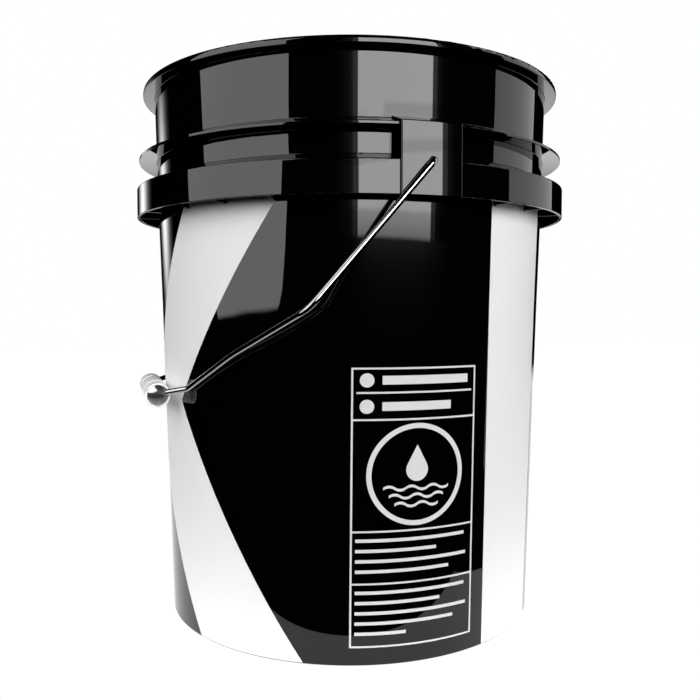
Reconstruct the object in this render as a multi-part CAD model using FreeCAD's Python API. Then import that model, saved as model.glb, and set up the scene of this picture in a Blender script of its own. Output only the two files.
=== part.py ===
import FreeCAD, Part
import math
import os

# A five gallon wash bucket: a moulded pail, a wire bail, a hand grip and three white decals.
# Millimetres. Origin at the centre of the underside, +Z up, the two bail ears on the Y axis.
# At rest the bail hangs down on the -X side with its grip just clear of the wall.

V = FreeCAD.Vector
UP = V(0, 0, 1)
CENTRE = V(0, 0, 0)
REACH = 200.0               # past every part of the pail, seen from its axis

# --- pail wall -------------------------------------------------------------------------
HEIGHT = 368.3
BASE_RADIUS = 131.9
TAPER_Z = 218.3             # the draft of the wall is a little greater above this height
TAPER_RADIUS = 137.85
SKIRT_FOOT_RADIUS = 139.8
RIM_FOOT_RADIUS = 141.7
WALL = 2.3

# --- floor -----------------------------------------------------------------------------
FOOT_HEIGHT = 3.5
FOOT_WIDTH = 4.3
FLOOR_THICKNESS = 2.6
FLOOR_CORNER = 6.0

# --- skirt band and its gussets ---------------------------------------------------------
SKIRT_BOTTOM = 279.0
SKIRT_TOP = 298.8
SKIRT_RADIUS = 154.5
SKIRT_THICKNESS = 2.2
SKIRT_RISE = 5.4            # the web's top slopes up to the wall
GUSSET_COUNT = 25
GUSSET_PHASE = 22.3         # degrees from the -Y ear
GUSSET_THICKNESS = 1.6
GUSSET_FREE_ANGLE = 9.0     # no gusset this close to an ear's middle

# --- stacking ring and rim ----------------------------------------------------------------
RING_TOP = 319.8
RING_THICKNESS = 1.7
RING_RADIUS = 152.8
RING_RISE = 4.8             # its top slopes up to the wall too
RIM_RADIUS = 149.5
RIM_LIP = 4.85
RIM_ROUNDING = 2.6

# --- ears ---------------------------------------------------------------------------------
EAR_RADIUS = 157.0
EAR_HALF_WIDTH = 18.6
EAR_TOP = 320.0
EAR_TOP_RISE = 5.8          # the top of the ear slopes up to the wall
EAR_SHELL = 2.5
EAR_EDGE = 0.9
PIVOT_Z = 298.3
BAIL_HOLE_RADIUS = 2.35

# --- bail wire, in the bail's own plane ---------------------------------------------------
WIRE_RADIUS = 1.9
REST_ANGLE = 41.2           # legs, from straight down towards -X
HOOK_Y = 147.0
HOOK_LENGTH = 9.0
HOOK_BEND = 2.6
SHOULDER_BEND = 3.6
LEG_Y = 160.6
LEG_LENGTH = 111.2

# --- grip -----------------------------------------------------------------------------------
GRIP_LENGTH = 86.0
GRIP_RADIUS = 8.1
GRIP_GROOVE_RADIUS = 7.5
GRIP_GROOVE_AT = 20.0
GRIP_GROOVE_WIDTH = 4.0
GRIP_BORE = 6.8
GRIP_WAIST_BORE = 6.5
GRIP_WAIST_HALF = 10.0
GRIP_DROP = 200.4           # pivot to grip axis along the legs
GRIP_SET_OUT = 17.0         # grip axis outwards of the legs

# --- decals ---------------------------------------------------------------------------------
FILM_GAP = 0.04
FILM_THICKNESS = 0.15
FILM_TOP = 283.0
FILM_BOTTOM = 0.9
# each chevron edge: the bearing it is drawn from, then across at the top, at the point and at
# the foot, and the height of the point. Bearings are degrees from the -Y ear towards +X.
CHEVRON_INNER = (-52.0, 43.1, -46.3, 50.3, 155.0)
CHEVRON_OUTER = (-85.0, 47.0, -40.3, 46.3, 150.9)
STRIPE_BEARING = 35.7
STRIPE_TOP = (-34.8, 32.7)
STRIPE_FOOT = (-30.7, 33.0)

# --- printed panel ----------------------------------------------------------------------------
PANEL_HALF_WIDTH = 40.0
PANEL_TOP = 180.7
PANEL_BOTTOM = 11.3
PANEL_LINE = 1.1
PANEL_DIVIDERS = (149.7, 82.4, 50.5)
PANEL_MARGIN = 3.0
HEADING_ROWS = (173.2, 157.6)
HEADING_SPLIT = 165.8
HEADING_DOT = 4.2
HEADING_BAR = 5.2
HEADING_BAR_ENDS = (34.0, 22.0)
HEADING_DOT_IN = 1.8
HEADING_GAP = 4.8
RING_MARK_Z = 116.2
RING_MARK_RADIUS = 31.0
RING_MARK_LINE = 3.0
DROP_RADIUS = 7.0
DROP_TIP = 15.0
DROP_UP = 3.0               # from the middle of the ring
WAVE_DOWN = 8.0
WAVE_ROW = 5.0
WAVE_PITCH = 7.0
WAVE_LINE = 1.6
WAVE_HUMPS = (6, 5, 4)
NOTE_LINE = 2.0
NOTE_PITCH = 6.3
NOTE_DOWN = 4.4             # from the divider above


def wall_radius(z):
    """Outer radius of the tapered wall at height z."""
    if z <= TAPER_Z:
        return BASE_RADIUS + (TAPER_RADIUS - BASE_RADIUS) * z / TAPER_Z
    if z <= SKIRT_BOTTOM:
        rise = (z - TAPER_Z) / (SKIRT_BOTTOM - TAPER_Z)
        return TAPER_RADIUS + (SKIRT_FOOT_RADIUS - TAPER_RADIUS) * rise
    rise = (z - SKIRT_BOTTOM) / (HEIGHT - RIM_LIP - SKIRT_BOTTOM)
    return SKIRT_FOOT_RADIUS + (RIM_FOOT_RADIUS - SKIRT_FOOT_RADIUS) * rise


def rounded_path(points, radii, closed):
    """Straight runs joined by tangent arcs. radii[i] rounds points[i]; 0 leaves it sharp."""
    count = len(points)
    entries = []
    exits = []
    middles = []
    for i, corner in enumerate(points):
        entries.append(corner)
        exits.append(corner)
        middles.append(None)
        if radii[i] <= 0 or (not closed and i in (0, count - 1)):
            continue
        back = (points[i - 1] - corner).normalize()
        ahead = (points[(i + 1) % count] - corner).normalize()
        half_turn = (math.pi - back.getAngle(ahead)) / 2
        reach = radii[i] * math.tan(half_turn)
        inward = (back + ahead).normalize()
        entries[i] = corner + back * reach
        exits[i] = corner + ahead * reach
        middles[i] = corner + inward * (radii[i] / math.cos(half_turn) - radii[i])
    edges = []
    for i in range(count):
        if middles[i] is not None:
            edges.append(Part.Arc(entries[i], middles[i], exits[i]).toShape())
        if i == count - 1 and not closed:
            break
        start = exits[i]
        end = entries[(i + 1) % count]
        if (end - start).Length > 1e-6:
            edges.append(Part.makeLine(start, end))
    return Part.Wire(edges)


def turned(profile, radii):
    """Solid of revolution about Z from an (r, z) outline."""
    points = [V(r, 0, z) for r, z in profile]
    wire = rounded_path(points, radii, True)
    return Part.Face(wire).revolve(CENTRE, UP, 360)


def ear_slab(half_width):
    """Everything on the -Y side within half_width of the ear's middle."""
    return Part.makeBox(2 * half_width, REACH, HEIGHT, V(-half_width, -REACH, 0))


def both_ears(shape):
    """The shape at the -Y ear together with its copy at the +Y ear."""
    other = shape.copy()
    other.rotate(CENTRE, UP, 180)
    return shape, other


# --- pail ---------------------------------------------------------------------------------

def pail_shell():
    foot_inner = BASE_RADIUS - FOOT_WIDTH
    floor_top = FOOT_HEIGHT + FLOOR_THICKNESS
    web_under = SKIRT_TOP - SKIRT_THICKNESS
    skirt_inner = SKIRT_RADIUS - SKIRT_THICKNESS
    web_root = SKIRT_TOP + SKIRT_RISE
    ring_under = RING_TOP - RING_THICKNESS
    ring_root = RING_TOP + RING_RISE
    rim_under = HEIGHT - RIM_LIP
    corners = [
        (0, FOOT_HEIGHT, 0),
        (foot_inner - 1.2, FOOT_HEIGHT, 1.5),
        (foot_inner, 0, 0.8),
        (BASE_RADIUS, 0, 1.0),
        (TAPER_RADIUS, TAPER_Z, 0),
        (SKIRT_FOOT_RADIUS, SKIRT_BOTTOM, 0),
        (wall_radius(web_under), web_under, 0.8),
        (skirt_inner, web_under, 0.8),
        (skirt_inner, SKIRT_BOTTOM, 0.4),
        (SKIRT_RADIUS, SKIRT_BOTTOM, 0.5),
        (SKIRT_RADIUS, SKIRT_TOP, 1.0),
        (wall_radius(web_root), web_root, 0.4),
        (wall_radius(ring_under), ring_under, 0.4),
        (RING_RADIUS, ring_under, 0.3),
        (RING_RADIUS, RING_TOP, 0.3),
        (wall_radius(ring_root), ring_root, 0.4),
        (RIM_FOOT_RADIUS, rim_under, 0.4),
        (RIM_RADIUS, rim_under, 0.5),
        (RIM_RADIUS, HEIGHT, RIM_ROUNDING),
        (RIM_FOOT_RADIUS - WALL, HEIGHT, 1.2),
        (wall_radius(floor_top) - WALL, floor_top, FLOOR_CORNER),
        (0, floor_top, 0),
    ]
    profile = [(r, z) for r, z, _ in corners]
    radii = [radius for _, _, radius in corners]
    return turned(profile, radii)


def gussets():
    """Radial ribs under the skirt web, flush with the bottom of the band."""
    inner = wall_radius(SKIRT_BOTTOM) - WALL / 2
    outer = SKIRT_RADIUS - SKIRT_THICKNESS / 2
    top = SKIRT_TOP - SKIRT_THICKNESS / 2
    ribs = []
    for i in range(GUSSET_COUNT):
        angle = GUSSET_PHASE + i * 360.0 / GUSSET_COUNT
        from_ear = (angle + 90) % 180 - 90
        if abs(from_ear) < GUSSET_FREE_ANGLE:
            continue
        rib = Part.makeBox(
            GUSSET_THICKNESS, outer - inner, top - SKIRT_BOTTOM,
            V(-GUSSET_THICKNESS / 2, -outer, SKIRT_BOTTOM))
        rib.rotate(CENTRE, UP, angle)
        ribs.append(rib)
    return ribs


def ear_block():
    """The -Y ear before it is hollowed: a sector between the wall and the ear's face."""
    root = wall_radius(SKIRT_BOTTOM) - WALL / 2
    sector = turned(
        [(root, SKIRT_BOTTOM), (EAR_RADIUS, SKIRT_BOTTOM), (EAR_RADIUS, EAR_TOP),
         (RIM_FOOT_RADIUS - WALL / 2, EAR_TOP + EAR_TOP_RISE)],
        [0, 0, 0, 0])
    block = sector.common(ear_slab(EAR_HALF_WIDTH)).removeSplitter()
    corner_y = -math.sqrt(EAR_RADIUS ** 2 - EAR_HALF_WIDTH ** 2)
    face_edges = [edge for edge in block.Edges
                  if edge.BoundBox.YMax < corner_y + 0.1 and edge.BoundBox.ZMax > EAR_TOP - 0.1]
    return block.makeFillet(EAR_EDGE, face_edges)


def ear_hollow():
    """The space inside the -Y ear, open below, where the hooked end of the bail turns."""
    face_inner = EAR_RADIUS - EAR_SHELL
    top = RING_TOP - EAR_SHELL
    below = SKIRT_BOTTOM - 1
    wall_top = wall_radius(top)
    sector = turned(
        [(SKIRT_FOOT_RADIUS, below), (face_inner, below), (face_inner, top), (wall_top, top),
         (SKIRT_FOOT_RADIUS, SKIRT_BOTTOM)],
        [0, 0, 1.0, 0, 0])
    return sector.common(ear_slab(EAR_HALF_WIDTH - EAR_SHELL))


def pail_body():
    past = 2.0
    hole = Part.makeCylinder(BAIL_HOLE_RADIUS, EAR_SHELL + 2 * past,
                             V(0, -EAR_RADIUS - past, PIVOT_Z), V(0, 1, 0))
    body = pail_shell().fuse([*both_ears(ear_block())])
    for hollow in both_ears(ear_hollow()):
        body = body.cut(hollow)
    body = body.fuse(gussets())
    for bore in both_ears(hole):
        body = body.cut(bore)
    return body.removeSplitter()


# --- bail ---------------------------------------------------------------------------------

def bail_point(y, drop, set_out):
    """A point of the bail at rest. drop runs down the legs from the pivot, set_out is
    square to them and away from the pail."""
    angle = math.radians(REST_ANGLE)
    x = -drop * math.sin(angle) - set_out * math.cos(angle)
    z = PIVOT_Z - drop * math.cos(angle) + set_out * math.sin(angle)
    return V(x, y, z)


def bail_wire():
    # (y, drop, set_out, bend radius) from the hooked end to the middle, then mirrored
    half = [
        (-HOOK_Y, -HOOK_LENGTH, 0, 0),
        (-HOOK_Y, 0, 0, HOOK_BEND),
        (-LEG_Y, 0, 0, SHOULDER_BEND),
        (-LEG_Y, LEG_LENGTH, 0, 14),
        (-98.5, 152.8, 5.8, 120),
        (-58.3, 184.5, 7.1, 7),
        (-47.5, 195.6, 15.0, 6),
        (-28.0, GRIP_DROP - 3.7, GRIP_SET_OUT + 2.0, 30),
    ]
    mirrored = [(-y, drop, set_out, bend) for y, drop, set_out, bend in reversed(half)]
    route = half + mirrored
    points = [bail_point(y, drop, set_out) for y, drop, set_out, _ in route]
    path = rounded_path(points, [bend for _, _, _, bend in route], False)
    start = points[0]
    section = Part.Wire(Part.makeCircle(WIRE_RADIUS, start, points[1] - start))
    wire = path.makePipeShell([section], True, False)
    share = wire.Volume / (math.pi * WIRE_RADIUS ** 2 * path.Length)
    print("bail wire: length %.1f mm, volume over section x length %.4f" % (path.Length, share))
    return wire


def bail_grip():
    half = GRIP_LENGTH / 2
    groove_in = GRIP_GROOVE_AT - GRIP_GROOVE_WIDTH / 2
    groove_out = GRIP_GROOVE_AT + GRIP_GROOVE_WIDTH / 2
    outer_half = [
        (GRIP_RADIUS, half, 0.6),
        (GRIP_RADIUS, groove_out, 0.3),
        (GRIP_GROOVE_RADIUS, groove_out, 0.3),
        (GRIP_GROOVE_RADIUS, groove_in, 0.3),
        (GRIP_RADIUS, groove_in, 0.3),
    ]
    outer = outer_half + [(r, -along, edge) for r, along, edge in reversed(outer_half)]
    bore = [
        (GRIP_BORE, -half, 0.4),
        (GRIP_BORE, -GRIP_WAIST_HALF - 1, 0),
        (GRIP_WAIST_BORE, -GRIP_WAIST_HALF, 0),
        (GRIP_WAIST_BORE, GRIP_WAIST_HALF, 0),
        (GRIP_BORE, GRIP_WAIST_HALF + 1, 0),
        (GRIP_BORE, half, 0.4),
    ]
    outline = outer + bore
    tube = turned([(r, along) for r, along, _ in outline], [edge for _, _, edge in outline])
    tube.rotate(CENTRE, V(1, 0, 0), 90)
    tube.translate(bail_point(0, GRIP_DROP, GRIP_SET_OUT))
    return tube


# --- decals -------------------------------------------------------------------------------

def film(bottom, top):
    """A thin sleeve on the wall between two heights, following its changes of draft."""
    turns = [z for z in (TAPER_Z, SKIRT_BOTTOM) if bottom < z < top]
    levels = [bottom] + turns + [top]
    inside = []
    outside = []
    for z in levels:
        radius = wall_radius(z)
        inside.append((radius + FILM_GAP, z))
        outside.append((radius + FILM_GAP + FILM_THICKNESS, z))
    outline = inside + outside[::-1]
    return turned(outline, [0] * len(outline))


def facing(outline_faces, bearing):
    """Pushes flat (across, z) faces into the pail from one side.

    bearing is in degrees from the -Y ear, positive towards +X, and across is positive the
    same way. Only the near half of the pail is reached."""
    prisms = []
    for face in outline_faces:
        prism = face.extrude(V(0, REACH, 0))
        prism.translate(V(0, -REACH, 0))
        prism.rotate(CENTRE, UP, bearing)
        prisms.append(prism)
    return prisms


def flat_polygon(points):
    corners = [V(across, 0, z) for across, z in points]
    return Part.Face(Part.makePolygon(corners + corners[:1]))


def gusset_slots():
    """Room round each gusset, so that a film can run up behind the skirt."""
    room = 0.6
    half_slot = GUSSET_THICKNESS / 2 + room
    slots = []
    for i in range(GUSSET_COUNT):
        slot = Part.makeBox(2 * half_slot, REACH, SKIRT_TOP - SKIRT_BOTTOM,
                            V(-half_slot, -REACH, SKIRT_BOTTOM - room))
        slot.rotate(CENTRE, UP, GUSSET_PHASE + i * 360.0 / GUSSET_COUNT)
        slots.append(slot)
    return slots


def left_of(edge):
    """The part of the pail on the -X side of a chevron edge, as far round as it faces."""
    bearing, top, point, foot, point_z = edge
    outline = flat_polygon([(-REACH, HEIGHT), (top, HEIGHT), (top, FILM_TOP), (point, point_z),
                            (foot, 0), (-REACH, 0)])
    return facing([outline], bearing)[0]


def chevron_decal():
    """A broad white chevron whose point is on the -X side."""
    decal = film(FILM_BOTTOM, FILM_TOP).common(left_of(CHEVRON_INNER)).cut(left_of(CHEVRON_OUTER))
    for slot in gusset_slots():
        decal = decal.cut(slot)
    return max(decal.Solids, key=lambda solid: solid.Volume)


def stripe_decal():
    outline = flat_polygon([(STRIPE_TOP[0], FILM_TOP), (STRIPE_FOOT[0], 0),
                            (STRIPE_FOOT[1], 0), (STRIPE_TOP[1], FILM_TOP)])
    decal = film(FILM_BOTTOM, FILM_TOP).common(facing([outline], STRIPE_BEARING)[0])
    for slot in gusset_slots():
        decal = decal.cut(slot)
    return decal


def bar(left, right, bottom, top):
    return flat_polygon([(left, bottom), (right, bottom), (right, top), (left, top)])


def disc(across, z, radius):
    circle = Part.makeCircle(radius, V(across, 0, z), V(0, -1, 0))
    return Part.Face(Part.Wire(circle))


def drop(across, z, radius, tip):
    """A water drop: a round bottom and two straight sides up to a tip."""
    lean = math.acos(radius / tip)
    side = V(radius * math.sin(lean), 0, radius * math.cos(lean))
    middle = V(across, 0, z)
    right = middle + side
    left = middle + V(-side.x, 0, side.z)
    top = middle + V(0, 0, tip)
    round_bottom = Part.Arc(right, middle - V(0, 0, radius), left).toShape()
    outline = Part.Wire([round_bottom, Part.makeLine(left, top), Part.makeLine(top, right)])
    return Part.Face(outline)


def wave(across, z, pitch, humps, thickness):
    """A line of shallow alternate arcs."""
    sag = pitch * 0.16
    upper = []
    lower = []
    start = across - pitch * humps / 2
    for i in range(humps):
        left = start + i * pitch
        bulge = sag if i % 2 == 0 else -sag
        for edges, level in ((upper, z + thickness / 2), (lower, z - thickness / 2)):
            edges.append(Part.Arc(V(left, 0, level), V(left + pitch / 2, 0, level + bulge),
                                  V(left + pitch, 0, level)).toShape())
    end = start + humps * pitch
    low = z - thickness / 2
    high = z + thickness / 2
    closing = [Part.makeLine(V(start, 0, low), V(start, 0, high)),
               Part.makeLine(V(end, 0, low), V(end, 0, high))]
    return Part.Face(Part.Wire(Part.__sortEdges__(upper + lower + closing)))


def water_mark():
    """A drop over three lines of water inside a ring."""
    outer = disc(0, RING_MARK_Z, RING_MARK_RADIUS)
    shapes = [outer.cut(disc(0, RING_MARK_Z, RING_MARK_RADIUS - RING_MARK_LINE))]
    shapes.append(drop(0, RING_MARK_Z + DROP_UP, DROP_RADIUS, DROP_TIP))
    for row, humps in enumerate(WAVE_HUMPS):
        level = RING_MARK_Z - WAVE_DOWN - WAVE_ROW * row
        shapes.append(wave(0, level, WAVE_PITCH, humps, WAVE_LINE))
    return shapes


def notes(top, lengths):
    """Plain bars in place of lines of writing, each a share of the panel's width."""
    left = PANEL_MARGIN - PANEL_HALF_WIDTH
    width = 2 * (PANEL_HALF_WIDTH - PANEL_MARGIN)
    return [bar(left, left + width * length, top - NOTE_PITCH * i - NOTE_LINE, top - NOTE_PITCH * i)
            for i, length in enumerate(lengths)]


def panel_decal():
    """An outlined panel in white ink: headings, a water mark in a ring, and note lines."""
    half = PANEL_HALF_WIDTH
    inner = half - PANEL_LINE
    frame = bar(-half, half, PANEL_BOTTOM, PANEL_TOP)
    frame = frame.cut(bar(-inner, inner, PANEL_BOTTOM + PANEL_LINE, PANEL_TOP - PANEL_LINE))
    frame = frame.fuse([bar(-inner, inner, z - PANEL_LINE / 2, z + PANEL_LINE / 2)
                        for z in PANEL_DIVIDERS]).removeSplitter()
    inset_half = half - PANEL_MARGIN
    split_half = PANEL_LINE / 2
    shapes = [frame, bar(-inset_half, inset_half, HEADING_SPLIT - split_half, HEADING_SPLIT + split_half)]
    dot_across = HEADING_DOT + HEADING_DOT_IN - inset_half
    bar_from = dot_across + HEADING_DOT + HEADING_GAP
    for z, bar_to in zip(HEADING_ROWS, HEADING_BAR_ENDS):
        shapes.append(disc(dot_across, z, HEADING_DOT))
        shapes.append(bar(bar_from, bar_to, z - HEADING_BAR / 2, z + HEADING_BAR / 2))
    shapes += water_mark()
    shapes += notes(PANEL_DIVIDERS[1] - NOTE_DOWN, (0.95, 0.68, 0.97, 0.8))
    shapes += notes(PANEL_DIVIDERS[2] - NOTE_DOWN, (0.96, 0.72, 0.98, 0.85, 0.42))
    sleeve = film(PANEL_BOTTOM - 1, PANEL_TOP + 1)
    return Part.makeCompound([solid for prism in facing(shapes, 0)
                              for solid in sleeve.common(prism).Solids])


def main():
    os.makedirs("parts", exist_ok=True)
    nodes = {
        "pail_body": pail_body(),
        "bail_wire": bail_wire(),
        "bail_grip": bail_grip(),
        "chevron_decal": chevron_decal(),
        "stripe_decal": stripe_decal(),
        "panel_decal": panel_decal(),
    }
    for name, shape in nodes.items():
        shape.exportStep("parts/%s.step" % name)
        box = shape.BoundBox
        print("%-14s solids %2d  volume %10.1f  valid %s  x %.1f..%.1f y %.1f..%.1f z %.1f..%.1f" % (
            name, len(shape.Solids), shape.Volume, shape.isValid(),
            box.XMin, box.XMax, box.YMin, box.YMax, box.ZMin, box.ZMax))


main()
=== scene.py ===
import math

import bpy
import numpy as np
from mathutils import Euler, Matrix, Vector


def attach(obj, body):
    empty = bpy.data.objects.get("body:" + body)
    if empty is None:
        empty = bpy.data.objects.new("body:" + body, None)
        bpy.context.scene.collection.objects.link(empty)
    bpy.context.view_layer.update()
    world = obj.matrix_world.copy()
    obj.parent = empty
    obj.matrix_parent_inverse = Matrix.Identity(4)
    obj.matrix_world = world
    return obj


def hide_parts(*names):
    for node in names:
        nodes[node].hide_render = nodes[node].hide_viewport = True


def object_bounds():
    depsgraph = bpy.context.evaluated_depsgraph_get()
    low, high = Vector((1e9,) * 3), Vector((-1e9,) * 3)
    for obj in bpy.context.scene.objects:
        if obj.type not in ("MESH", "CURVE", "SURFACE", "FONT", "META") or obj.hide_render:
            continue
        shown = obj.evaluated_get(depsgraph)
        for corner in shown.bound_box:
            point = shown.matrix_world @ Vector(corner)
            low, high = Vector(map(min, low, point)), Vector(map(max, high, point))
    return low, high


# The looks of a black wash bucket: glossy moulded plastic, a bright steel wire bail, a milky
# hand grip and white vinyl decals, on a plain pale floor under soft boxes.

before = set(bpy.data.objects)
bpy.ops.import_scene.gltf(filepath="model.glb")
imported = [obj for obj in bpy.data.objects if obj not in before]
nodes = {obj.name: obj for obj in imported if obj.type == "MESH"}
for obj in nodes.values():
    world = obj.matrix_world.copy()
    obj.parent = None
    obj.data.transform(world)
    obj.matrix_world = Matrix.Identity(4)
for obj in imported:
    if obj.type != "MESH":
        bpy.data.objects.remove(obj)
cad_low, cad_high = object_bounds()


# --- finer turned pieces ------------------------------------------------------------------

WIDEST_TURN = math.radians(1.6)   # a facet's width round the pail's axis
TURNED = 0.02                     # a turned face looks this little round the axis
SMOOTH = math.cos(math.radians(35))
SHARPEST_BEND = math.radians(8)   # between the normals at an edge's ends, on a rounding
LEAST_BEND = math.radians(3)
SHORTEST = 2.5e-4                 # metres; shorter roundings are not split
LEVEL = 0.9999                    # a normal this upright is a level face's; its turn is not split
NEAR = 1e-5                       # metres; a face with no longer step in its outline has no slope
GRID = 1e7                        # steps to the metre; corners on the same step are one
TINY = 1e-12                      # in place of a zero length


def unit(vectors):
    return vectors / np.maximum(np.linalg.norm(vectors, axis=-1, keepdims=True), TINY)


def bearing_of(places):
    return np.arctan2(places[..., 1], places[..., 0])


def to_local(vectors, bearing):
    """Cartesian to (outwards, round the axis, up) at a bearing."""
    c, s = np.cos(bearing), np.sin(bearing)
    x, y = vectors[..., 0], vectors[..., 1]
    return np.stack([x * c + y * s, y * c - x * s, vectors[..., 2]], -1)


def from_local(vectors, bearing):
    c, s = np.cos(bearing), np.sin(bearing)
    out, around = vectors[..., 0], vectors[..., 1]
    return np.stack([out * c - around * s, out * s + around * c, vectors[..., 2]], -1)


def facing_of(places):
    """Each triangle's normal times its area."""
    return np.cross(places[:, 1] - places[:, 0], places[:, 2] - places[:, 0]) / 2


def node_triangles(node):
    """Corner positions of a node's triangles, (triangles, 3, 3)."""
    mesh = node.data
    mesh.calc_loop_triangles()
    places = np.zeros(len(mesh.vertices) * 3)
    mesh.vertices.foreach_get("co", places)
    corners = np.zeros(len(mesh.loop_triangles) * 3, np.int32)
    mesh.loop_triangles.foreach_get("vertices", corners)
    return places.reshape(-1, 3)[corners].reshape(-1, 3, 3)


def middles(places, normals):
    """The middle of every edge, carried round the axis and out on to its rounding: its place,
    its local normal, its bulge, and whether the edge is too coarse."""
    ends, end_normals = np.roll(places, -1, axis=1), np.roll(normals, -1, axis=1)
    start = bearing_of(places)
    turn = (bearing_of(ends) - start + math.pi) % (2 * math.pi) - math.pi
    reach = np.hypot(places[..., 0], places[..., 1])
    end_reach = np.hypot(ends[..., 0], ends[..., 1])
    middle_reach = (reach + end_reach) / 2
    chord = np.stack([end_reach - reach, middle_reach * turn, ends[..., 2] - places[..., 2]], -1)
    middle_normals = unit(normals + end_normals)
    bend = np.arccos(np.clip((normals * end_normals).sum(-1), -1, 1))
    run = (chord * unit(end_normals - normals)).sum(-1)
    bulge = np.where(bend > LEAST_BEND, run / 2 * np.tan(bend / 4), 0)
    zero = np.zeros_like(reach)
    local = np.stack([middle_reach, zero, (places[..., 2] + ends[..., 2]) / 2], -1)
    middle = from_local(local + bulge[..., None] * middle_normals, start + turn / 2)
    level = np.abs(unit(facing_of(places))[:, 2]) > LEVEL
    coarse = (np.abs(turn) > WIDEST_TURN) & ~level[:, None]
    coarse |= (bend > SHARPEST_BEND) & (np.abs(run) > SHORTEST)
    return middle, middle_normals, bulge, coarse


def split_once(places, normals):
    """Splits every coarse edge in two; returns the new triangles and whether there was any."""
    middle, middle_normals, bulge, coarse = middles(places, normals)
    ends = np.roll(places, -1, axis=1)
    key = np.round(np.concatenate([np.minimum(places, ends), np.maximum(places, ends)], -1) * GRID)
    _, edge = np.unique(key.reshape(-1, 6).astype(np.int64), axis=0, return_inverse=True)
    edge = edge.reshape(-1)
    # both sides of an edge split together, where its rounder side says
    split = np.zeros(edge.max() + 1, bool)
    split[edge[coarse.reshape(-1)]] = True
    roundest = np.zeros(len(split), np.int64)
    order = np.argsort(np.abs(bulge.reshape(-1)), kind="stable")
    roundest[edge[order]] = order
    middle = middle.reshape(-1, 3)[roundest[edge]].reshape(places.shape)
    wide = split[edge].reshape(-1, 3)
    count = wide.sum(1)
    corners = np.concatenate([places, normals], -1)
    middle = np.concatenate([middle, middle_normals], -1)
    done = [corners[count == 0]]
    for wanted in (1, 2, 3):
        for first in range(3 if wanted < 3 else 1):
            # turn the triangles so that their wide edges come first
            turned = [(first + i) % 3 for i in range(3)]
            chosen = (count == wanted) & (wide[:, turned] == (np.arange(3) < wanted)).all(1)
            a, b, c = corners[chosen][:, turned].transpose(1, 0, 2)
            ab, bc, ca = middle[chosen][:, turned].transpose(1, 0, 2)
            pieces = {1: [(a, ab, c), (ab, b, c)],
                      2: [(a, ab, c), (ab, bc, c), (ab, b, bc)],
                      3: [(a, ab, ca), (ab, b, bc), (ca, bc, c), (ab, bc, ca)]}[wanted]
            done += [np.stack(piece, 1) for piece in pieces]
    done = np.concatenate(done)
    return done[..., :3], done[..., 3:], bool(count.any())


def facet_normals(places):
    """Local facet normals at the corners. A face turned about the axis gets the exact slope of
    its outline, which its corners follow and the middles of its edges do not."""
    facing = unit(facing_of(places))
    middle = to_local(facing, bearing_of(places.mean(1)))
    outline = np.stack([np.hypot(places[..., 0], places[..., 1]), places[..., 2]], -1)
    steps = np.roll(outline, -1, axis=1) - outline
    lengths = np.linalg.norm(steps, axis=-1)
    along = steps[np.arange(len(steps)), lengths.argmax(1)]
    slope = unit(np.stack([along[:, 1], np.zeros(len(along)), -along[:, 0]], -1))
    slope *= np.sign((slope * middle).sum(1, keepdims=True))
    normals = to_local(np.repeat(facing[:, None], 3, axis=1), bearing_of(places))
    turned = (np.abs(middle[:, 1]) < TURNED) & (lengths.max(1) > NEAR)
    normals[turned] = slope[turned][:, None]
    return normals


def smooth_normals(places):
    """Local corner normals: at each vertex the mean of the facets that face much the same way."""
    facet = facet_normals(places).reshape(-1, 3)
    areas = np.repeat(np.linalg.norm(facing_of(places), axis=-1), 3)
    vertex = merged(places)[1]
    order = np.argsort(vertex, kind="stable")
    _, first, inverse, count = np.unique(vertex[order], return_index=True, return_inverse=True,
                                         return_counts=True)
    start, size = first[inverse], count[inverse]
    place = np.arange(len(order)) - start
    facet = facet[order]
    weighted = facet * areas[order][:, None]
    total = np.zeros_like(facet)
    for shift in range(size.max()):
        rows = np.nonzero(size > shift)[0]
        other = start[rows] + (place[rows] + shift) % size[rows]
        alike = (facet[rows] * facet[other]).sum(1) > SMOOTH
        total[rows] += weighted[other] * alike[:, None]
    result = np.zeros_like(total)
    result[order] = unit(total)
    return result.reshape(places.shape)


def merged(places):
    """The different corners, and for every corner the number of the one it is."""
    every = places.reshape(-1, 3)
    _, first, vertex = np.unique(np.round(every * GRID).astype(np.int64), axis=0,
                                 return_index=True, return_inverse=True)
    return every[first], vertex.reshape(-1)


def finer(name, node_name, body):
    """A smoother copy of a turned CAD node, which it replaces."""
    places = node_triangles(nodes[node_name])
    normals = smooth_normals(places)
    more = True
    while more:
        places, normals, more = split_once(places, normals)
    normals = from_local(normals, bearing_of(places))
    corners, vertex = merged(places)
    corners = np.clip(corners, cad_low, cad_high)
    triangles = vertex.reshape(-1, 3)
    sound = ((triangles[:, 0] != triangles[:, 1]) & (triangles[:, 1] != triangles[:, 2])
             & (triangles[:, 2] != triangles[:, 0]))
    mesh = bpy.data.meshes.new(name)
    mesh.from_pydata(corners.tolist(), [], triangles[sound].tolist())
    mesh.polygons.foreach_set("use_smooth", [True] * len(mesh.polygons))
    mesh.normals_split_custom_set(normals[sound].reshape(-1, 3).tolist())
    piece = bpy.data.objects.new(name, mesh)
    bpy.context.scene.collection.objects.link(piece)
    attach(piece, body)
    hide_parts(node_name)
    return piece


# --- node helpers -------------------------------------------------------------------------

NOISE_ROUGHNESS = 0.55


def new_material(name):
    """A node material, its tree and its Principled shader."""
    material = bpy.data.materials.new(name)
    material.use_nodes = True
    tree = material.node_tree
    return material, tree, tree.nodes["Principled BSDF"]


def add(tree, kind, **settings):
    node = tree.nodes.new(kind)
    for key, value in settings.items():
        setattr(node, key, value)
    return node


def object_coordinates(tree):
    return add(tree, "ShaderNodeTexCoord").outputs["Object"]


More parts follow.
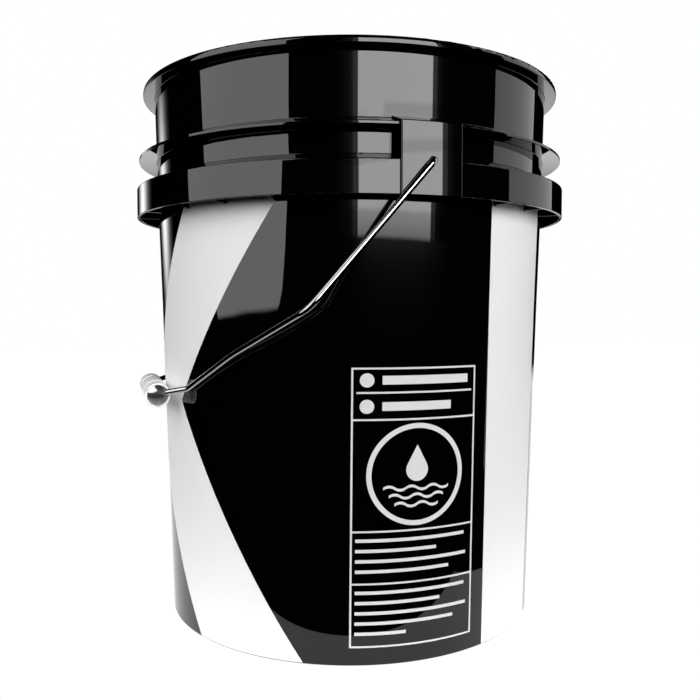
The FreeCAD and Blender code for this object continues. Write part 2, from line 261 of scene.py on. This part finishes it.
def noise(tree, vector, scale, detail, stretch=None):
    """Noise in object space. stretch scales the axes before the noise is read."""
    if stretch:
        mapping = add(tree, "ShaderNodeMapping")
        mapping.inputs["Scale"].default_value = stretch
        tree.links.new(vector, mapping.inputs["Vector"])
        vector = mapping.outputs["Vector"]
    texture = add(tree, "ShaderNodeTexNoise")
    texture.inputs["Scale"].default_value = scale
    texture.inputs["Detail"].default_value = detail
    texture.inputs["Roughness"].default_value = NOISE_ROUGHNESS
    tree.links.new(vector, texture.inputs["Vector"])
    return texture.outputs["Fac"]


def remap(tree, value, low, high, to_low, to_high):
    """Maps low..high onto to_low..to_high, clamped."""
    node = add(tree, "ShaderNodeMapRange")
    for socket, number in zip(("From Min", "From Max", "To Min", "To Max"),
                              (low, high, to_low, to_high)):
        node.inputs[socket].default_value = number
    tree.links.new(value, node.inputs["Value"])
    return node.outputs["Result"]


def blend_colours(tree, fac, first, second):
    node = add(tree, "ShaderNodeMix", data_type="RGBA")
    node.inputs["A"].default_value = (*first, 1)
    node.inputs["B"].default_value = (*second, 1)
    tree.links.new(fac, node.inputs["Factor"])
    return node.outputs["Result"]


def bump(tree, height, distance):
    node = add(tree, "ShaderNodeBump")
    node.inputs["Strength"].default_value = 1.0
    node.inputs["Distance"].default_value = distance
    tree.links.new(height, node.inputs["Height"])
    return node.outputs["Normal"]


# --- materials ----------------------------------------------------------------------------

def black_plastic():
    """Black polyethylene, polished mould finish, with faint flow marks."""
    material, tree, shader = new_material("gloss_black_plastic")
    where = object_coordinates(tree)
    flow = noise(tree, where, 9, 4, stretch=(1, 1, 0.35))
    tree.links.new(blend_colours(tree, flow, (0.0002, 0.0002, 0.0002), (0.0006, 0.0006, 0.0006)),
                   shader.inputs["Base Color"])
    haze = noise(tree, where, 38, 5)
    tree.links.new(remap(tree, haze, 0.35, 0.75, 0.01, 0.03), shader.inputs["Roughness"])
    tree.links.new(bump(tree, noise(tree, where, 22, 2), 0.000006), shader.inputs["Normal"])
    shader.inputs["IOR"].default_value = 1.5
    return material


def white_film(name, tint):
    """White vinyl film: matt, with a faint cast from handling."""
    material, tree, shader = new_material(name)
    where = object_coordinates(tree)
    cast = noise(tree, where, 14, 4)
    darker = tuple(channel * 0.97 for channel in tint)
    tree.links.new(blend_colours(tree, cast, darker, tint), shader.inputs["Base Color"])
    grain = noise(tree, where, 900, 2)
    tree.links.new(remap(tree, grain, 0.3, 0.7, 0.52, 0.66), shader.inputs["Roughness"])
    tree.links.new(bump(tree, grain, 0.000012), shader.inputs["Normal"])
    shader.inputs["Specular IOR Level"].default_value = 0.25
    return material


def bright_wire():
    """Drawn steel wire with a bright zinc finish: faint patches in its colour and gloss, and a fine
    even bump.
    """
    material, tree, shader = new_material("bright_steel_wire")
    where = object_coordinates(tree)
    patches = noise(tree, where, 160, 4)
    tree.links.new(blend_colours(tree, patches, (0.30, 0.30, 0.31), (0.37, 0.37, 0.38)),
                   shader.inputs["Base Color"])
    tree.links.new(remap(tree, patches, 0.3, 0.75, 0.02, 0.05), shader.inputs["Roughness"])
    tree.links.new(bump(tree, noise(tree, where, 300, 2), 0.000001), shader.inputs["Normal"])
    shader.inputs["Metallic"].default_value = 1.0
    return material


def milky_plastic():
    """The grip: natural polyethylene tube, white and a little translucent."""
    material, tree, shader = new_material("milky_grip_plastic")
    where = object_coordinates(tree)
    cloud = noise(tree, where, 60, 4)
    tree.links.new(blend_colours(tree, cloud, (0.94, 0.94, 0.94), (0.97, 0.97, 0.97)),
                   shader.inputs["Base Color"])
    tree.links.new(remap(tree, cloud, 0.3, 0.7, 0.24, 0.36), shader.inputs["Roughness"])
    tree.links.new(bump(tree, noise(tree, where, 420, 2), 0.00002), shader.inputs["Normal"])
    shader.inputs["Subsurface Weight"].default_value = 0.1
    shader.inputs["Subsurface Radius"].default_value = (0.002, 0.002, 0.002)
    return material


def give(piece, material):
    """Puts one material on all of a piece."""
    piece.data.materials.clear()
    piece.data.materials.append(material)


FILM_TINT = (0.83, 0.83, 0.83)
INK_TINT = (0.70, 0.70, 0.70)

moulding = finer("pail_moulding", "pail_body", "pail")
chevron = finer("chevron_film", "chevron_decal", "pail")
stripe = finer("stripe_film", "stripe_decal", "pail")
panel = finer("panel_ink", "panel_decal", "pail")
film = white_film("white_vinyl_film", FILM_TINT)
give(moulding, black_plastic())
give(chevron, film)
give(stripe, film)
give(panel, white_film("white_print_ink", INK_TINT))
give(nodes["bail_wire"], bright_wire())
give(nodes["bail_grip"], milky_plastic())


# --- stage --------------------------------------------------------------------------------

CAMERA_PLACE = Vector((-0.17588, -0.56050, 0.21325))
CAMERA_PITCH = math.radians(2.818)     # down
CAMERA_TURN = math.radians(-17.45)     # the ear is this far right of the view
CAMERA_FOV = math.radians(48.75)       # across the picture
SENSOR_WIDTH = 36                      # millimetres
FAR = 20.0                             # metres, to the soft boxes
TOP = 56.0                             # degrees, the boxes' upper edges
RIGHT_BOTTOM = -13.0                   # degrees
FLOOR_REACH = 4.0                      # metres, half its width
FLOOR_WHITE = 1.02
PATCH_HEIGHT = -0.0005                 # metres, just under the floor


def toward_camera_frame(right, back, up):
    """A place given to the right of the view and away from it, in the row's axes."""
    return Matrix.Rotation(CAMERA_TURN, 3, "Z") @ Vector((right, back, up))


def make_camera():
    data = bpy.data.cameras.new("camera")
    data.sensor_width = SENSOR_WIDTH
    data.lens = data.sensor_width / 2 / math.tan(CAMERA_FOV / 2)
    camera = bpy.data.objects.new("camera", data)
    bpy.context.scene.collection.objects.link(camera)
    camera.location = CAMERA_PLACE
    camera.rotation_euler = Euler((math.pi / 2 - CAMERA_PITCH, 0, CAMERA_TURN))
    bpy.context.scene.camera = camera


def glowing(name, places, faces, levels):
    """A glowing surface of the stage; levels are its brightness at each of the places."""
    mesh = bpy.data.meshes.new(name)
    mesh.from_pydata(places, [], faces)
    mesh.attributes.new("level", "FLOAT", "POINT").data.foreach_set("value", levels)
    sheet = bpy.data.objects.new(name, mesh)
    bpy.context.scene.collection.objects.link(sheet)
    material = bpy.data.materials.new(name)
    material.use_nodes = True
    tree = material.node_tree
    tree.nodes.clear()
    level = add(tree, "ShaderNodeAttribute", attribute_name="level")
    glow = add(tree, "ShaderNodeEmission")
    tree.links.new(level.outputs["Fac"], glow.inputs["Strength"])
    output = add(tree, "ShaderNodeOutputMaterial")
    tree.links.new(glow.outputs["Emission"], output.inputs["Surface"])
    mesh.materials.append(material)
    return sheet


def direction(azimuth, elevation):
    """Unit vector; azimuth 0 points back at the camera and is positive to its right."""
    a = math.radians(azimuth)
    e = math.radians(elevation)
    return toward_camera_frame(math.sin(a) * math.cos(e), -math.cos(a) * math.cos(e), math.sin(e))


def soft_box(name, rows, level):
    """A far light seen from the pail. Each row is (elevation, azimuths from left to right) and
    level(azimuth, elevation) is its brightness."""
    seen = [(azimuth, elevation) for elevation, azimuths in rows for azimuth in azimuths]
    wide = len(rows[0][1])
    faces = [(r * wide + i, r * wide + i + 1, (r + 1) * wide + i + 1, (r + 1) * wide + i)
             for r in range(len(rows) - 1) for i in range(wide - 1)]
    box = glowing(name, [direction(*point) * FAR for point in seen], faces,
                  [level(*point) for point in seen])
    box.visible_camera = False
    return box


def along(table, at):
    """Straight-line reading of a table of (place, value)."""
    places, values = zip(*table)
    return float(np.interp(at, places, values))


def spread(left, right, count):
    return [left + (right - left) * i / (count - 1) for i in range(count)]


def world_light():
    """White to the camera; everything else is lit and mirrored by the soft boxes."""
    world = bpy.data.worlds.new("studio")
    bpy.context.scene.world = world
    world.use_nodes = True
    tree = world.node_tree
    tree.nodes.clear()
    path = add(tree, "ShaderNodeLightPath")
    background = add(tree, "ShaderNodeBackground")
    background.inputs["Color"].default_value = (1, 1, 1, 1)
    tree.links.new(path.outputs["Is Camera Ray"], background.inputs["Strength"])
    output = add(tree, "ShaderNodeOutputWorld")
    tree.links.new(background.outputs["Background"], output.inputs["Surface"])


def floors():
    """A white floor for the camera, and the lit patch of it that the pail mirrors."""
    r = FLOOR_REACH
    white = glowing("floor", [(-r, -r, 0), (r, -r, 0), (r, r, 0), (-r, r, 0)],
                    [(0, 1, 2, 3)], [FLOOR_WHITE] * 4)
    white.visible_glossy = False
    white.visible_diffuse = False
    # each row: metres beyond the pail's axis, half the width there, brightness
    rows = [(-0.172, 0.19, 1.05), (-0.104, 0.223, 1.05), (0.30, 0.42, 1.05), (1.0, 1.1, 1.1),
            (1.5, 1.2, 1.35), (1.9, 1.2, 0.7), (2.4, 1.2, 0)]
    places = [toward_camera_frame(side * half, y, PATCH_HEIGHT)
              for y, half, _ in rows for side in (-1, 1)]
    patch = glowing("floor_patch", places,
                    [(i, i + 1, i + 3, i + 2) for i in range(0, 2 * len(rows) - 2, 2)],
                    [level for _, _, level in rows for _ in (-1, 1)])
    patch.visible_camera = False


def left_box():
    """The tall light on the left. sides: elevation, left and right edge."""
    sides = [(-2.3, -81.5, -41.5), (-1.9, -82.0, -40.2), (-1.0, -82.8, -38.2), (0.5, -83.6, -37.0),
             (2.0, -84.6, -36.0), (5.0, -86.2, -34.7), (9.0, -88.5, -33.6), (12.0, -89.2, -33.2),
             (20.0, -91.0, -32.2), (40.0, -92.0, -31.0), (TOP, -93.0, -31.0)]
    fade = [(-90, 2.12), (-78, 2.42), (-60, 2.70), (-48, 2.83), (-36, 2.89)]
    foot = [(-2.3, 0), (-1.9, 1)]
    soft_box("soft_box_left", [(el, spread(a, b, 9)) for el, a, b in sides],
             lambda azimuth, elevation: along(fade, azimuth) * along(foot, elevation))


def middle_box():
    """The main light: a bright panel in a dim frame, with a faint glow round it."""
    full = 7.6
    across = [(-10, 0), (-5, 0.003), (0, 0.013), (1.6, 0.03), (2.0, 0.08), (4.2, 0.08), (4.7, 1),
              (45.3, 1), (45.8, 0.08), (48.0, 0.08), (48.4, 0.015), (52, 0.003), (58, 0)]
    edge = 2.45
    below = [(-10, 0), (0, 0.1), (8, 0.6), (16, 0.95), (26, 1), (38, 0.9), (46, 0.5), (58, 0)]
    upwards = [(-12, 0), (-6, 0.0008), (-3, 0.0025), (-1, 0.006), (0, 0.009), (1, 0.014),
               (edge, 0.03), (2.8, 0.40), (3.6, 0.55), (4.6, 0.66), (5.1, 0.98), (6, 1),
               (12.2, 1), (12.5, 0.8), (13.1, 0.8), (13.5, 1), (30, 1)]
    azimuths = [azimuth for azimuth, _ in across]
    azimuths = azimuths[:7] + spread(10, 40, 7) + azimuths[7:]
    soft_box("soft_box_middle", [(el, azimuths) for el, _ in upwards],
             lambda azimuth, elevation: full * along(upwards, elevation)
             * along(across if elevation > edge else below, azimuth))


def right_box():
    """The tall light on the right, reaching round behind."""
    fade = [(87, 1.29), (100, 1.17), (115, 1.15), (130, 1.27)]
    soft_box("soft_box_right",
             [(el, spread(87.5, 130.4, 9)) for el in (RIGHT_BOTTOM, 5, 20, 40, TOP)],
             lambda azimuth, elevation: along(fade, azimuth))


def side_fill():
    """A small lamp close by on the right, level with the rings, that is not mirrored."""
    half, glow = 0.1, 3.0
    centre = toward_camera_frame(0.36, -0.26, 0.33)
    outwards = Vector((centre.x, centre.y, 0)).normalized()
    across, up = outwards.cross(Vector((0, 0, 1))) * half, Vector((0, 0, half))
    lamp = glowing("side_fill", [centre - across - up, centre + across - up,
                                 centre + across + up, centre - across + up],
                   [(0, 1, 2, 3)], [glow] * 4)
    lamp.visible_camera = False
    lamp.visible_glossy = False


def left_fill():
    """Light on the hand grip from behind on the left, that is not mirrored."""
    glow = 0.8
    lamp = soft_box("left_fill", [(el, spread(-150, -95, 5)) for el in (5, 25, 45)],
                    lambda azimuth, elevation: glow)
    lamp.visible_glossy = False


def back_glow():
    """A small round lamp behind the pail on the left."""
    azimuth_at, elevation_at, width, peak = -138.5, 7.5, 4.5, 3.8
    steps = spread(-14, 14, 15)
    soft_box("back_glow", [(elevation_at + e, [azimuth_at + a for a in steps]) for e in steps],
             lambda azimuth, elevation: peak * math.exp(
                 -((azimuth - azimuth_at) ** 2 + (elevation - elevation_at) ** 2) / 2 / width ** 2))


floors()
left_box()
middle_box()
right_box()
side_fill()
left_fill()
back_glow()
make_camera()
world_light()
bpy.context.scene.view_settings.view_transform = "Standard"
